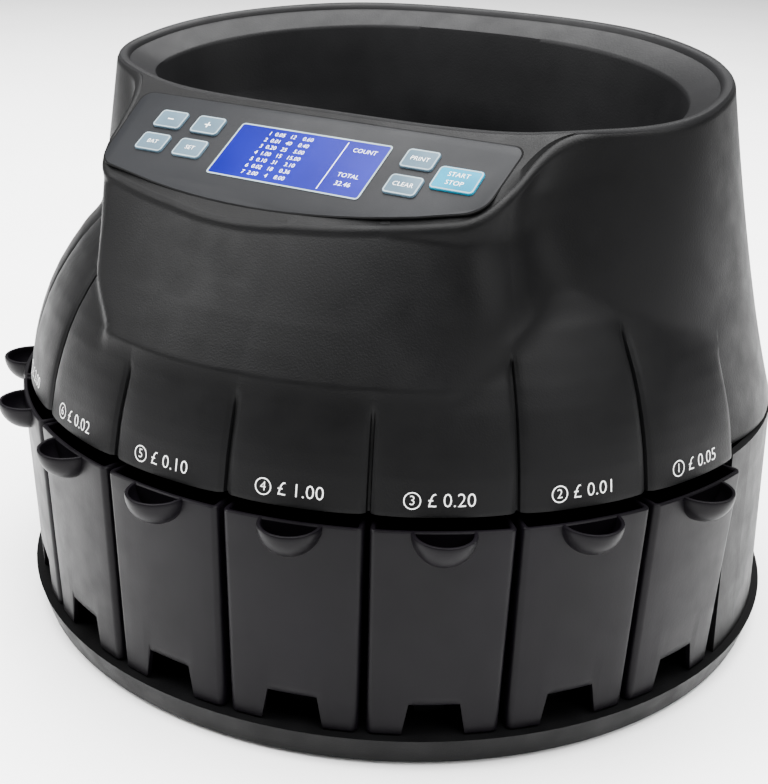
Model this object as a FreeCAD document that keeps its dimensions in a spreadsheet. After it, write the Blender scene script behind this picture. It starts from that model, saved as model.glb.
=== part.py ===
"""Coin sorting machine: a hopper over a turning carrier disc, nine pull-out coin cups round the front."""
import FreeCAD, Part
import Sketcher
import os
import re
from math import atan2, cos, pi, radians, sin, sqrt, tan

Vector = FreeCAD.Vector
Rotation = FreeCAD.Rotation
Placement = FreeCAD.Placement

os.makedirs("parts", exist_ok=True)
doc = FreeCAD.newDocument("coin_sorter")

# ---------------------------------------------------------------------------
# Driving dimensions, in millimetres and degrees. All sub-parts are drawn about
# the vertical axis of the carrier disc (front towards -Y, z = 0 on the table)
# and then moved by axis_y, which centres the whole machine on the origin.
# ---------------------------------------------------------------------------
DIMENSIONS = {
    "axis_y": 25.25,
    "running_gap": 0.3,
    "ring_radius": 174.0,
    "ring_top_radius": 177.5,
    "ring_bottom": 2.0,
    "tray_top": 14.0,
    "tray_plate": 3.0,
    "skirt_wall": 3.0,
    "rear_flat": 140.0,
    "foot_radius": 11.0,
    "foot_height": 5.0,
    "foot_circle": 150.0,
    "cup_pitch": 18.15,
    "cup_gap_angle": 0.9,
    "cup_wall_angle": 1.5,
    "cup_wall": 2.2,
    "cup_inner_radius": 90.0,
    "cup_foot_radius": 176.5,
    "cup_height": 88.7,
    "tunnel_width": 24.6,
    "tunnel_top_width": 19.8,
    "tunnel_height": 13.7,
    "rail_width": 12.0,
    "rail_height": 9.0,
    "rail_start": 94.0,
    "rail_end": 158.0,
    "scoop_radius": 14.0,
    "scoop_reach": 13.0,
    "scoop_wall": 1.6,
    "core_radius": 87.0,
    "core_wall": 3.0,
    "core_half_angle": 83.2,
    "deck_bottom": 110.0,
    "deck_plate": 3.0,
    "deck_radius": 162.5,
    "deck_flat": 134.0,
    "cover_foot_radius": 174.0,
    "cover_top_radius": 170.3,
    "cover_height": 92.4,
    "cover_flat": 137.5,
    "cover_wall": 3.0,
    "shell_wall": 3.0,
    "socket_height": 46.0,
    "disc_bottom": 113.8,
    "disc_plate": 6.2,
    "disc_radius": 127.6,
    "pocket_circle": 115.2,
    "pocket_radius": 14.8,
    "pocket_count": 16,
    "guide_radius": 129.0,
    "guide_wall": 3.5,
    "guide_height": 10.2,
    "shaft_radius": 6.0,
    "shaft_bottom": 79.0,
    "shaft_length": 53.0,
    "bearing_radius": 13.0,
    "bearing_width": 5.0,
    "hub_radius": 19.0,
    "hub_depth": 7.0,
    "gear_module": 1.5,
    "wheel_teeth": 60,
    "pinion_teeth": 12,
    "gear_bottom": 91.0,
    "gear_width": 8.0,
    "gear_backlash": 0.2,
    "bracket_bottom": 79.0,
    "bracket_plate": 4.0,
    "bracket_radius": 75.0,
    "spacer_circle": 64.0,
    "motor_radius": 18.0,
    "motor_length": 56.0,
    "motor_direction": 135.0,
    "bowl_wall": 2.5,
    "bowl_throat": 62.0,
    "bowl_floor": 123.2,
    "bowl_shoulder": 205.0,
    "rim_centre": -12.0,
    "rim_half_width": 148.0,
    "rim_half_depth": 96.0,
    "rim_front_height": 235.0,
    "rim_slope": 0.18,
    "rim_level": 240.0,
    "shell_top": 270.0,
    "collar_bottom": 108.0,
    "collar_radius": 173.0,
    "rear_collar_radius": 169.8,
    "panel_y": -104.4,
    "panel_z": 212.5,
    "panel_tilt": 32.7,
    "crease_y": -75.0,
    "bezel_rise": 0.6,
    "panel_wall": 3.2,
    "overlay_plate": 0.8,
    "key_width": 14.3,
    "key_depth": 10.0,
    "start_width": 18.6,
    "start_depth": 11.8,
    "key_rise": 1.2,
    "key_reach": 9.9,
    "key_gap": 0.4,
    "key_travel": 0.8,
    "window_width": 71.0,
    "window_depth": 28.5,
    "window_x": 6.9,
    "window_v": 8.0,
    "screw_radius": 1.7,
    "screw_head": 3.4,
}

sheet = doc.addObject("Spreadsheet::Sheet", "dims")
for row, (alias, amount) in enumerate(DIMENSIONS.items(), start=1):
    sheet.set(f"A{row}", alias.replace("_", " "))
    sheet.set(f"B{row}", str(amount))
    sheet.setAlias(f"B{row}", alias)
doc.recompute()

SUB_PARTS = {}


def size(alias):
    """A driving dimension as it stands in the sheet."""
    return float(sheet.get(alias))


def formula(text):
    """Turn 'ring_radius - skirt_wall' into an expression on the sheet's cells."""
    return re.sub(r"[a-z_]+", lambda word: f"dims.{word[0]}" if word[0] in DIMENSIONS else word[0],
                  str(text))


def bind(item, **formulas):
    """Bind properties of a document object; x, y, z and turn stand for its placement."""
    places = {"x": "Placement.Base.x", "y": "Placement.Base.y", "z": "Placement.Base.z",
              "turn": "Placement.Rotation.Angle"}
    for name, text in formulas.items():
        item.setExpression(places.get(name, name), formula(text))
    return item


def cylinder(name, radius, height, **more):
    return bind(doc.addObject("Part::Cylinder", name), Radius=radius, Height=height, **more)


def cone(name, foot, top, height, **more):
    return bind(doc.addObject("Part::Cone", name), Radius1=foot, Radius2=top, Height=height, **more)


def block(name, length, width, height, **more):
    return bind(doc.addObject("Part::Box", name), Length=length, Width=width, Height=height, **more)


def cut(name, base, tool):
    result = doc.addObject("Part::Cut", name)
    result.Base = base
    result.Tool = tool
    return result


def common(name, base, tool):
    result = doc.addObject("Part::Common", name)
    result.Base = base
    result.Tool = tool
    return result


def fuse(name, *items):
    result = doc.addObject("Part::MultiFuse", name)
    result.Shapes = list(items)
    return result


def group(name, *items):
    """Like pieces that stay separate solids but share one node."""
    result = doc.addObject("Part::Compound", name)
    result.Links = list(items)
    return result


def sub_part(node, item, turn=None):
    """Name a finished sub-part and set it on the machine's own axis."""
    item.Label = node
    bind(item, y="axis_y")
    if turn is not None:
        bind(item, turn=turn)
    SUB_PARTS[node] = item
    return item


def made_part(node, shape):
    """A sub-part whose shape is built with Part's functions from the sheet's values."""
    item = doc.addObject("Part::Feature", node)
    item.Shape = shape
    item.Placement = Placement(Vector(0, size("axis_y"), 0), Rotation()) * item.Placement
    item.Label = node
    SUB_PARTS[node] = item
    return item


def polar(radius, degrees):
    """A point seen from above, its angle counted from the front (-Y) towards +X."""
    return Vector(radius * sin(radians(degrees)), -radius * cos(radians(degrees)), 0)


def radial(item, radius, degrees, z):
    """Place a piece on a circle about the axis."""
    spot = f"{radius}"
    return bind(item, x=f"({spot}) * sin({degrees})", y=f"-({spot}) * cos({degrees})", z=z)


def front_of(name, edge, low=0, high=300):
    """Everything in front of a flat rear face at y = edge."""
    return block(name, 600, f"300 + {edge}", high - low, x=-300, y=-300, z=low)


def prism(points, low, high):
    """A straight solid on a closed outline of (x, y) points."""
    wire = Part.makePolygon([Vector(x, y, low) for x, y in points + points[:1]])
    return Part.Face(wire).extrude(Vector(0, 0, high - low))


# ---------------------------------------------------------------------------
# Base tray: a shallow moulded tray, open below, with a flared band round its
# edge, nine rails that guide the cups and four bosses for the feet.
# ---------------------------------------------------------------------------
CUP_COUNT = 9
CUP_TURNS = [f"cup_pitch * {4 - index}" for index in range(CUP_COUNT)]
FOOT_ANGLES = (35, 145, 215, 325)


def base_tray():
    height = "tray_top - ring_bottom"
    outside = common("tray_outside",
                     cone("tray_band", "ring_radius", "ring_top_radius", height, z="ring_bottom"),
                     front_of("tray_rear", "rear_flat"))
    hollow = common("tray_hollow",
                    cone("tray_inside", "ring_radius - skirt_wall", "ring_top_radius - skirt_wall",
                         f"{height} - tray_plate", z="ring_bottom"),
                    front_of("tray_inside_rear", "rear_flat - skirt_wall"))
    pieces = [cut("tray_shell", outside, hollow)]
    for index, turn in enumerate(CUP_TURNS):
        rail = block(f"rail_{index + 1}", "rail_width", "rail_end - rail_start", "rail_height",
                     x="-rail_width / 2", y="-rail_end")
        arm = group(f"rail_arm_{index + 1}", rail)
        pieces.append(bind(arm, z="tray_top", turn=turn))
    for index, angle in enumerate(FOOT_ANGLES):
        boss = cylinder(f"foot_boss_{index + 1}", "foot_radius + 2", "tray_top - foot_height - 1")
        pieces.append(radial(boss, "foot_circle", angle, "foot_height"))
    holes = []
    for index, angle in enumerate(FOOT_ANGLES):
        hole = cylinder(f"foot_hole_{index + 1}", "screw_radius", "6")
        holes.append(radial(hole, "foot_circle", angle, "foot_height - 0.5"))
    solid = fuse("tray_solid", *pieces)
    sub_part("base_tray", cut("base_tray", solid, fuse("foot_holes", *holes)))


def feet():
    pads = []
    screws = []
    for index, angle in enumerate(FOOT_ANGLES):
        pad = cylinder(f"foot_pad_{index + 1}", "foot_radius", "foot_height")
        radial(pad, "foot_circle", angle, "0")
        well = cylinder(f"foot_well_{index + 1}", "screw_head + 1", "2.5")
        radial(well, "foot_circle", angle, "0")
        bore = cylinder(f"foot_bore_{index + 1}", "screw_radius", "foot_height")
        radial(bore, "foot_circle", angle, "0")
        pads.append(cut(f"foot_{index + 1}", pad, fuse(f"foot_space_{index + 1}", well, bore)))
        head = cylinder(f"foot_screw_head_{index + 1}", "screw_head", "1.6")
        head = radial(head, "foot_circle", angle, "0.9")
        stem = cylinder(f"foot_screw_stem_{index + 1}", "screw_radius", "7.5")
        stem = radial(stem, "foot_circle", angle, "2.5")
        screws.append(fuse(f"foot_screw_{index + 1}", head, stem))
    sub_part("rubber_feet", group("rubber_feet", *pads))
    sub_part("foot_screws", group("foot_screws", *screws))


base_tray()
feet()


# ---------------------------------------------------------------------------
# Core wall: the half-round wall behind the cups, with a straight partition at
# each end that closes the cup bays off from the electronics.
# ---------------------------------------------------------------------------
def core_wall():
    height = "deck_bottom - tray_top"
    arc = bind(cylinder("core_arc", "core_radius", height), Angle="core_half_angle * 2",
               turn="-90 - core_half_angle", z="tray_top")
    ring = cut("core_ring", arc, cylinder("core_hollow", "core_radius - core_wall", "200"))
    pieces = [ring]
    for side, turn in (("right", "core_half_angle - 90"), ("left", "-90 - core_half_angle")):
        shift = "0" if side == "right" else "-core_wall"
        wall = block(f"partition_plate_{side}", "166 - core_radius + core_wall", "core_wall", height,
                     x="core_radius - core_wall", y=shift)
        pieces.append(bind(group(f"partition_{side}", wall), turn=turn, z="tray_top"))
    sub_part("core_wall", fuse("core_wall", *pieces))


core_wall()


# ---------------------------------------------------------------------------
# Coin cups: open boxes shaped like a slice of the ring. The floor is humped
# over a tunnel that rides on the tray's rail and shows at the front as a
# notch; a half-round finger scoop stands out at the top edge.
# ---------------------------------------------------------------------------
def slice_of(name, foot, top, height, half_angle, **more):
    """A slice of a cone, centred on the front."""
    whole = cone(name, foot, top, height, **more)
    return bind(whole, Angle=f"({half_angle}) * 2", turn=f"-90 - ({half_angle})")


def tunnel(name, extra, start, end):
    """A trapezoid bar along the cup's centre line, wider at its foot."""
    bar = doc.addObject("Part::Wedge", name)
    bar.Placement = Placement(Vector(0, 0, 0), Rotation(Vector(1, 0, 0), 90))
    return bind(bar, Xmin=f"-tunnel_width / 2 - {extra}", Xmax=f"tunnel_width / 2 + {extra}",
                X2min=f"-tunnel_top_width / 2 - {extra}", X2max=f"tunnel_top_width / 2 + {extra}",
                Ymin="0", Ymax=f"tunnel_height + {extra}", Zmin=start, Zmax=end, Z2min=start, Z2max=end)


def bowl_half(name, radius):
    """The lower half of a ball at the cup's top edge."""
    half = bind(doc.addObject("Part::Sphere", name), Radius=radius,
                y="scoop_radius - scoop_reach - ring_top_radius", z="cup_height")
    half.Angle1 = -90
    half.Angle2 = 0
    return half


def coin_cup(number, turn):
    tag = f"cup_{number}"
    half = "(cup_pitch - cup_gap_angle) / 2"
    body = cut(f"{tag}_body", slice_of(f"{tag}_slice", "cup_foot_radius", "ring_top_radius", "cup_height", half),
               cylinder(f"{tag}_back", "cup_inner_radius", "cup_height"))
    space = cut(f"{tag}_space",
                slice_of(f"{tag}_inner_slice", "cup_foot_radius - cup_wall", "ring_top_radius - cup_wall",
                         "cup_height", f"{half} - cup_wall_angle / 2", z="cup_wall"),
                cylinder(f"{tag}_inner_back", "cup_inner_radius + cup_wall", "cup_height + cup_wall"))
    hollow = cut(f"{tag}_hollow", space, tunnel(f"{tag}_hump", "cup_wall", "60", "200"))
    outside = fuse(f"{tag}_outside", body, bowl_half(f"{tag}_scoop", "scoop_radius"))
    emptied = cut(f"{tag}_emptied", outside, hollow)
    pocket = cut(f"{tag}_pocket", bowl_half(f"{tag}_scoop_space", "scoop_radius - scoop_wall"),
                 slice_of(f"{tag}_wall_slice", "ring_top_radius", "ring_top_radius", "cup_height", half))
    scooped = cut(f"{tag}_scooped", emptied, pocket)
    cup = cut(f"coin_cup_{number}", scooped, tunnel(f"{tag}_tunnel", "0", "60", "200"))
    bind(cup, z="tray_top + running_gap")
    sub_part(f"coin_cup_{number}", cup, turn=turn)


for index, turn in enumerate(CUP_TURNS):
    coin_cup(index + 1, turn)


# ---------------------------------------------------------------------------
# Sort deck: the plate over the cups. One window over each cup, wider from the
# first cup to the last, lets a coin of that size drop.
# ---------------------------------------------------------------------------
WINDOW_WIDTHS = [17, 18.5, 20, 21.5, 23, 24.5, 26, 27.5, 30]
WINDOW_HALF_ANGLE = 6.4
PILLAR_SPOTS = ((-120, 18), (120, 18), (0, 112))
SPACER_ANGLES = (0, 120, 280)
SHELL_SCREW_ANGLES = (45.4, 125, 235, -45.4)


def flat_disc(name, radius, flat, height, z):
    """A disc with a flat rear edge."""
    return common(name, cylinder(f"{name}_round", radius, height, z=z), front_of(f"{name}_flat", flat))


def sort_deck():
    plate = flat_disc("deck_plate", "deck_radius", "deck_flat", "deck_plate", "deck_bottom")
    hub = cylinder("deck_hub", "hub_radius", "hub_depth", z="deck_bottom - hub_depth")
    holes = [cylinder("deck_bearing_seat", "bearing_radius", "bearing_width", z="deck_bottom - hub_depth"),
             cylinder("deck_bore", "shaft_radius + 2", "30", z="deck_bottom - hub_depth - 5")]
    for index, turn in enumerate(CUP_TURNS):
        outer = bind(cylinder(f"window_{index + 1}_outer", "guide_radius - 1.5", "deck_plate + 2"),
                     Angle=WINDOW_HALF_ANGLE * 2, turn=-90 - WINDOW_HALF_ANGLE)
        inner = cylinder(f"window_{index + 1}_inner", f"guide_radius - 1.5 - {WINDOW_WIDTHS[index]}",
                         "deck_plate + 2")
        window = cut(f"window_{index + 1}", outer, inner)
        holes.append(bind(window, z="deck_bottom - 1", turn=turn))
    for index, angle in enumerate(SHELL_SCREW_ANGLES):
        hole = cylinder(f"deck_screw_hole_{index + 1}", "screw_radius", "deck_plate + 2")
        holes.append(radial(hole, "deck_radius - 5", angle, "deck_bottom - 1"))
    solid = fuse("deck_solid", plate, hub)
    sub_part("sort_deck", cut("sort_deck", solid, fuse("deck_holes", *holes)))


def deck_pillars():
    pillars = []
    for index, (x, y) in enumerate(PILLAR_SPOTS):
        pillar = cylinder(f"pillar_{index + 1}", "6", "deck_bottom - tray_top", x=x, y=y, z="tray_top")
        pillars.append(pillar)
    sub_part("deck_pillars", group("deck_pillars", *pillars))


def guide_ring():
    ring = cut("guide_ring", cylinder("guide_outside", "guide_radius + guide_wall", "guide_height"),
               cylinder("guide_inside", "guide_radius", "guide_height"))
    bind(ring, z="deck_bottom + deck_plate")
    sub_part("guide_ring", ring)


sort_deck()
deck_pillars()
guide_ring()


# ---------------------------------------------------------------------------
# Carrier disc: a turned plate with open pockets round its edge that push the
# coins along the guide ring, and a low cone in the middle that stirs the heap.
# ---------------------------------------------------------------------------
def origin_plane(body, role):
    return next(item for item in body.Origin.OriginFeatures if item.Role == role)


def flat_sketch(body, name):
    sketch = body.newObject("Sketcher::SketchObject", name)
    sketch.AttachmentSupport = (origin_plane(body, "XY_Plane"), [""])
    sketch.MapMode = "FlatFace"
    return sketch


def sketch_circle(sketch, x, y, radius, spot_x=None, radius_text=None):
    """A circle on the sketch; its radius, and its x where given, are bound to the sheet."""
    index = sketch.addGeometry(Part.Circle(Vector(x, y, 0), Vector(0, 0, 1), radius), False)
    place = sketch.addConstraint(Sketcher.Constraint("Radius", index, radius))
    sketch.setExpression(f"Constraints[{place}]", formula(radius_text))
    if spot_x is not None:
        place = sketch.addConstraint(Sketcher.Constraint("DistanceX", -1, 1, index, 3, x))
        sketch.setExpression(f"Constraints[{place}]", formula(spot_x))
    sketch.addConstraint(Sketcher.Constraint("PointOnObject", index, 3, -1))
    return index


def carrier_disc():
    body = doc.addObject("PartDesign::Body", "carrier_disc")
    outline = flat_sketch(body, "disc_outline")
    sketch_circle(outline, 0, 0, size("disc_radius"), "0", "disc_radius")
    sketch_circle(outline, 0, 0, size("shaft_radius"), "0", "shaft_radius + 0.02")
    plate = body.newObject("PartDesign::Pad", "disc_plate_pad")
    plate.Profile = outline
    bind(plate, Length="disc_plate")
    doc.recompute()
    mouth = flat_sketch(body, "pocket_outline")
    sketch_circle(mouth, size("pocket_circle"), 0, size("pocket_radius"), "pocket_circle", "pocket_radius")
    pocket = body.newObject("PartDesign::Pocket", "coin_pocket")
    pocket.Profile = mouth
    pocket.Type = "ThroughAll"
    pocket.Reversed = True
    doc.recompute()
    ring = body.newObject("PartDesign::PolarPattern", "coin_pockets")
    ring.Originals = [pocket]
    ring.Axis = (origin_plane(body, "Z_Axis"), [""])
    ring.Angle = 360
    bind(ring, Occurrences="pocket_count")
    body.Tip = ring
    doc.recompute()
    stirrer = body.newObject("PartDesign::AdditiveCone", "stirring_cone")
    stirrer.AttachmentSupport = (origin_plane(body, "XY_Plane"), [""])
    stirrer.MapMode = "FlatFace"
    stirrer.AttachmentOffset = Placement(Vector(0, 0, size("disc_plate")), Rotation())
    bind(stirrer, Radius1="30", Radius2="11", Height="9")
    bore = body.newObject("PartDesign::SubtractiveCylinder", "stirring_cone_bore")
    bind(bore, Radius="shaft_radius + 0.02", Height="40")
    body.Tip = bore
    bind(body, z="disc_bottom")
    sub_part("carrier_disc", body)


carrier_disc()


# ---------------------------------------------------------------------------
# Drive: the disc's shaft runs in two bearings, one in the deck's hub and one
# in a bracket hung below. A geared motor on the bracket turns it through a
# pinion and a wheel.
# ---------------------------------------------------------------------------
def gear_face(teeth, module, backlash, start_degrees):
    """An involute gear outline with a tooth centred on start_degrees from +X."""
    pressure = radians(20)
    pitch = teeth * module / 2
    base = pitch * cos(pressure)
    root = pitch - 1.25 * module
    tip = pitch + module
    half_tooth = (pi * module / 2 - backlash) / (2 * pitch) + tan(pressure) - pressure
    flank_start = max(base, root)
    flank = []
    steps = 6
    for step in range(steps + 1):
        radius = flank_start + (tip - flank_start) * step / steps
        roll = sqrt(max(0.0, (radius / base) ** 2 - 1))
        flank.append((radius, half_tooth - (roll - atan2(roll, 1))))
    side = [(root, flank[0][1])] + flank if root < base else flank
    points = []
    for tooth in range(teeth):
        centre = radians(start_degrees) + 2 * pi * tooth / teeth
        for radius, angle in side:
            points.append((radius, centre - angle))
        for radius, angle in reversed(side):
            points.append((radius, centre + angle))
    return [(radius * cos(angle), radius * sin(angle)) for radius, angle in points]


def gear_distance():
    return size("gear_module") * (size("wheel_teeth") + size("pinion_teeth")) / 2 + 0.1


def motor_spot():
    angle = radians(size("motor_direction"))
    return Vector(gear_distance() * cos(angle), gear_distance() * sin(angle), 0)


def drive_gears():
    low = size("gear_bottom")
    high = low + size("gear_width")
    bore = Part.makeCylinder(size("shaft_radius") + 0.02, 30, Vector(0, 0, low - 10))
    outline = gear_face(int(size("wheel_teeth")), size("gear_module"), size("gear_backlash"),
                        size("motor_direction"))
    wheel = prism(outline, low, high)
    hub = Part.makeCylinder(14, size("gear_width") + 3, Vector(0, 0, low - 3))
    wheel = wheel.fuse(hub)
    for angle in range(0, 360, 60):
        spot = polar(29, angle)
        wheel = wheel.cut(Part.makeCylinder(8, 30, Vector(spot.x, spot.y, low - 10)))
    made_part("drive_gear", wheel.cut(bore))
    teeth = int(size("pinion_teeth"))
    pinion = prism(gear_face(teeth, size("gear_module"), size("gear_backlash"),
                             size("motor_direction") + 180 + 180 / teeth), low, high)
    pinion = pinion.cut(Part.makeCylinder(3.02, 30, Vector(0, 0, low - 10)))
    pinion.translate(motor_spot())
    made_part("motor_pinion", pinion)


def drive_shaft():
    shaft = cylinder("drive_shaft", "shaft_radius", "shaft_length", z="shaft_bottom + 1")
    sub_part("drive_shaft", shaft)
    cap = cut("disc_nut", cylinder("nut_round", "shaft_radius + 4.5", "4"),
              cylinder("nut_bore", "shaft_radius", "4"))
    sub_part("disc_nut", bind(cap, z="disc_bottom + disc_plate + 9"))


def bearing(node, z):
    ring = cut(node, cylinder(f"{node}_outer", "bearing_radius", "bearing_width"),
               cylinder(f"{node}_bore", "shaft_radius + 0.05", "bearing_width"))
    sub_part(node, bind(ring, z=z))


def drive_bracket():
    spot = motor_spot()
    plate = cylinder("bracket_disc", "bracket_radius", "bracket_plate", z="bracket_bottom")
    seat = cylinder("bracket_seat", "bearing_radius + 3", "bearing_width + 1", z="bracket_bottom")
    holes = [cylinder("bracket_bearing_hole", "bearing_radius", "bearing_width + 3", z="bracket_bottom + 1"),
             cylinder("bracket_shaft_hole", "shaft_radius + 3", "20", z="bracket_bottom - 5"),
             cylinder("bracket_motor_hole", "7", "20", x=spot.x, y=spot.y, z="bracket_bottom - 5")]
    solid = fuse("bracket_solid", plate, seat)
    sub_part("drive_bracket", cut("drive_bracket", solid, fuse("bracket_holes", *holes)))
    spacers = []
    for index, angle in enumerate(SPACER_ANGLES):
        spacer = cylinder(f"spacer_{index + 1}", "5", "deck_bottom - bracket_bottom - bracket_plate")
        spacers.append(radial(spacer, "spacer_circle", angle, "bracket_bottom + bracket_plate"))
    sub_part("bracket_spacers", group("bracket_spacers", *spacers))


def gear_motor():
    spot = motor_spot()
    low = "bracket_bottom - motor_length"
    can = cylinder("motor_can", "motor_radius", "motor_length - 18", z=low)
    gearbox = cylinder("motor_gearbox", "motor_radius + 1", "18", z="bracket_bottom - 18")
    nose = cylinder("motor_nose", "6", "4", z="bracket_bottom")
    motor = fuse("gear_motor", can, gearbox, nose)
    item = sub_part("gear_motor", motor)
    bind(item, x=spot.x, y=f"axis_y + {spot.y}")
    axle = cylinder("motor_axle", "3", "gear_bottom + gear_width - bracket_bottom - 6",
                    z="bracket_bottom + 5")
    item = sub_part("motor_axle", axle)
    bind(item, x=spot.x, y=f"axis_y + {spot.y}")


drive_gears()
drive_shaft()
bearing("upper_bearing", "deck_bottom - hub_depth")
bearing("lower_bearing", "bracket_bottom + 1")
drive_bracket()
gear_motor()


# ---------------------------------------------------------------------------
# Coin counting: an arc-shaped board outside the guide ring with a sensor
# beside each window.
# ---------------------------------------------------------------------------
def sensor_ring():
    board = cut("sensor_board",
                bind(cylinder("sensor_board_outer", "deck_radius - 10", "1.6"), Angle=166, turn=-173),
                cylinder("sensor_board_inner", "guide_radius + guide_wall + 0.5", "10"))
    sub_part("sensor_board", bind(board, z="deck_bottom + deck_plate + 0.2"))


sensor_ring()


# ---------------------------------------------------------------------------
# Rear cover: the plain wall that closes the back of the base between the first
# and the last cup, with cut-outs for the sockets and the switch.
# ---------------------------------------------------------------------------
INLET_X = -62
SWITCH_X = -20
PORT_X = 30
COVER_SCREWS = ((-88, 28), (88, 28), (-88, 92), (88, 92))


def rear_opening(name, x, width, height):
    return block(name, width, "30", height, x=f"{x} - {width} / 2", y="cover_flat - 20",
                 z=f"socket_height - {height} / 2")


def rear_cover():
    outside = common("cover_outside",
                     cone("cover_cone", "cover_foot_radius", "cover_top_radius", "cover_height",
                          z="tray_top"),
                     front_of("cover_flat_face", "cover_flat"))
    inside = common("cover_inside",
                    cone("cover_inner_cone", "cover_foot_radius - cover_wall", "cover_top_radius - cover_wall",
                         "cover_height", z="tray_top"),
                    front_of("cover_inner_face", "cover_flat - cover_wall"))
    bays = bind(cylinder("cover_bays", "250", "300"), Angle="core_half_angle * 2",
                turn="-90 - core_half_angle")
    wall = cut("cover_wall_ring", cut("cover_shell", outside, inside), bays)
    holes = [rear_opening("inlet_hole", INLET_X, 27.6, 20.6),
             rear_opening("switch_hole", SWITCH_X, 23.6, 17.6),
             rear_opening("port_hole", PORT_X, 16.6, 13.6)]
    for index, (x, z) in enumerate(COVER_SCREWS):
        hole = cylinder(f"cover_screw_hole_{index + 1}", "screw_radius", "20")
        arm = group(f"cover_screw_bore_{index + 1}", hole)
        arm.Placement = Placement(Vector(x, size("cover_flat") - 10, z), Rotation(Vector(1, 0, 0), -90))
        holes.append(arm)
    sub_part("rear_cover", cut("rear_cover", wall, fuse("cover_holes", *holes)))


def cover_screws():
    screws = []
    for index, (x, z) in enumerate(COVER_SCREWS):
        stem = cylinder(f"cover_screw_stem_{index + 1}", "screw_radius", "6")
        head = cylinder(f"cover_screw_head_{index + 1}", "screw_head", "1.6", z="6")
        slot = block(f"cover_screw_slot_{index + 1}", "5", "0.9", "1", x="-2.5", y="-0.45", z="6.9")
        screw = cut(f"cover_screw_{index + 1}", fuse(f"cover_screw_body_{index + 1}", stem, head), slot)
        screw.Placement = Placement(Vector(x, size("cover_flat") - 6, z), Rotation(Vector(1, 0, 0), -90))
        screws.append(screw)
    sub_part("cover_screws", group("cover_screws", *screws))


rear_cover()
cover_screws()


# ---------------------------------------------------------------------------
# Upper housing: one moulded shell. A domed collar hangs over the cups, a
# tapering body rises to the oval hopper rim, and a block at the front carries
# the sloping control panel.
# ---------------------------------------------------------------------------
def rim_height(y):
    return size("rim_front_height") + size("rim_slope") * (y - size("crease_y"))


def panel_height(y, above=0.0):
    """The height of the panel's plane at y, or of a plane parallel to it."""
    tilt = radians(size("panel_tilt"))
    return size("panel_z") + (y - size("panel_y")) * tan(tilt) + above / cos(tilt)


def side_prism(points):
    """A solid across the whole width on a closed outline of (y, z) points."""
    wire = Part.makePolygon([Vector(-300, y, z) for y, z in points + points[:1]])
    return Part.Face(wire).extrude(Vector(600, 0, 0))


def dome(inset, foot):
    radius = size("collar_radius") - inset
    waist = Vector(138 - inset, 0, 180 - inset)
    arc = Part.Arc(Vector(radius, 0, size("collar_bottom")), Vector(163 - inset, 0, 146 - inset / 2), waist)
    edges = [Part.LineSegment(Vector(0, 0, foot), Vector(radius, 0, foot)).toShape()]
    if foot < size("collar_bottom"):
        skirt = Part.LineSegment(Vector(radius, 0, foot), Vector(radius, 0, size("collar_bottom")))
        edges.append(skirt.toShape())
    edges.append(arc.toShape())
    edges.append(Part.LineSegment(waist, Vector(0, 0, waist.z)).toShape())
    edges.append(Part.LineSegment(Vector(0, 0, waist.z), Vector(0, 0, foot)).toShape())
    turned = Part.Face(Part.Wire(edges)).revolve(Vector(0, 0, 0), Vector(0, 0, 1), 360)
    half = size("core_half_angle") - 1 - inset / 4
    front = Part.makeCylinder(250, 300, Vector(0, 0, 0), Vector(0, 0, 1), half * 2)
    front.rotate(Vector(0, 0, 0), Vector(0, 0, 1), -90 - half)
    return turned.common(front)


def oval(level, inset, foot_radius, foot_level):
    """The body's outline at a level, on straight lines from its round foot to the oval rim."""
    share = (level - foot_level) / (size("rim_level") - foot_level)
    half_width = foot_radius + (size("rim_half_width") - inset - foot_radius) * share
    half_depth = foot_radius + (size("rim_half_depth") - inset - foot_radius) * share
    centre = Vector(0, size("rim_centre") * share, level)
    if half_width - half_depth < 0.01:
        return Part.Wire(Part.Circle(centre, Vector(0, 0, 1), half_width).toShape())
    return Part.Wire(Part.Ellipse(centre, half_width, half_depth).toShape())


def tapered_body(inset, foot_radius, foot_level, low):
    levels = (low, size("shell_top"))
    return Part.makeLoft([oval(level, inset, foot_radius, foot_level) for level in levels], True, True)


def panel_block(inset, low):
    front = size("panel_y") - 19.1 + inset
    outline = [(-102 + inset, -40), (-91 + inset, front), (91 - inset, front), (102 - inset, -40)]
    solid = prism(outline, low, size("shell_top"))
    corners = [edge for edge in solid.Edges
               if abs(edge.Vertexes[0].Point.y - front) < 0.01 and abs(edge.tangentAt(0).z) > 0.99]
    return solid.makeFillet(24 - inset, corners)


def upper_outline(inset, foot):
    """Everything inside the shell's skin, set in by the wall for its hollow."""
    collar = size("collar_bottom")
    body = tapered_body(inset, size("rear_collar_radius") - inset, collar, collar)
    if foot < collar:
        skirt = Part.makeCylinder(size("rear_collar_radius") - inset, collar - foot, Vector(0, 0, foot))
        body = body.fuse(skirt)
    flat = size("cover_flat") - inset
    keep = Part.makeBox(600, 300 + flat, 400, Vector(-300, -300, 0))
    return body.common(keep).fuse(dome(inset, foot)).fuse(panel_block(inset, collar + 12))


def panel_shape(shape):
    """Set a shape drawn on the panel (x across, y up the slope, z out of it) in its place."""
    shape.Placement = Placement(Vector(0, size("panel_y"), size("panel_z")),
                                Rotation(Vector(1, 0, 0), size("panel_tilt")))
    return shape


def panel_slab(points, low, high, corner_radii):
    """A plate on the panel with rounded corners, one radius for each point."""
    solid = prism(points, low, high)
    for (x, y), radius in zip(points, corner_radii):
        edges = [edge for edge in solid.Edges
                 if abs(edge.tangentAt(edge.FirstParameter).z) > 0.99
                 and (edge.Vertexes[0].Point - Vector(x, y, edge.Vertexes[0].Point.z)).Length < 0.01]
        solid = solid.makeFillet(radius, edges)
    return solid


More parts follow.
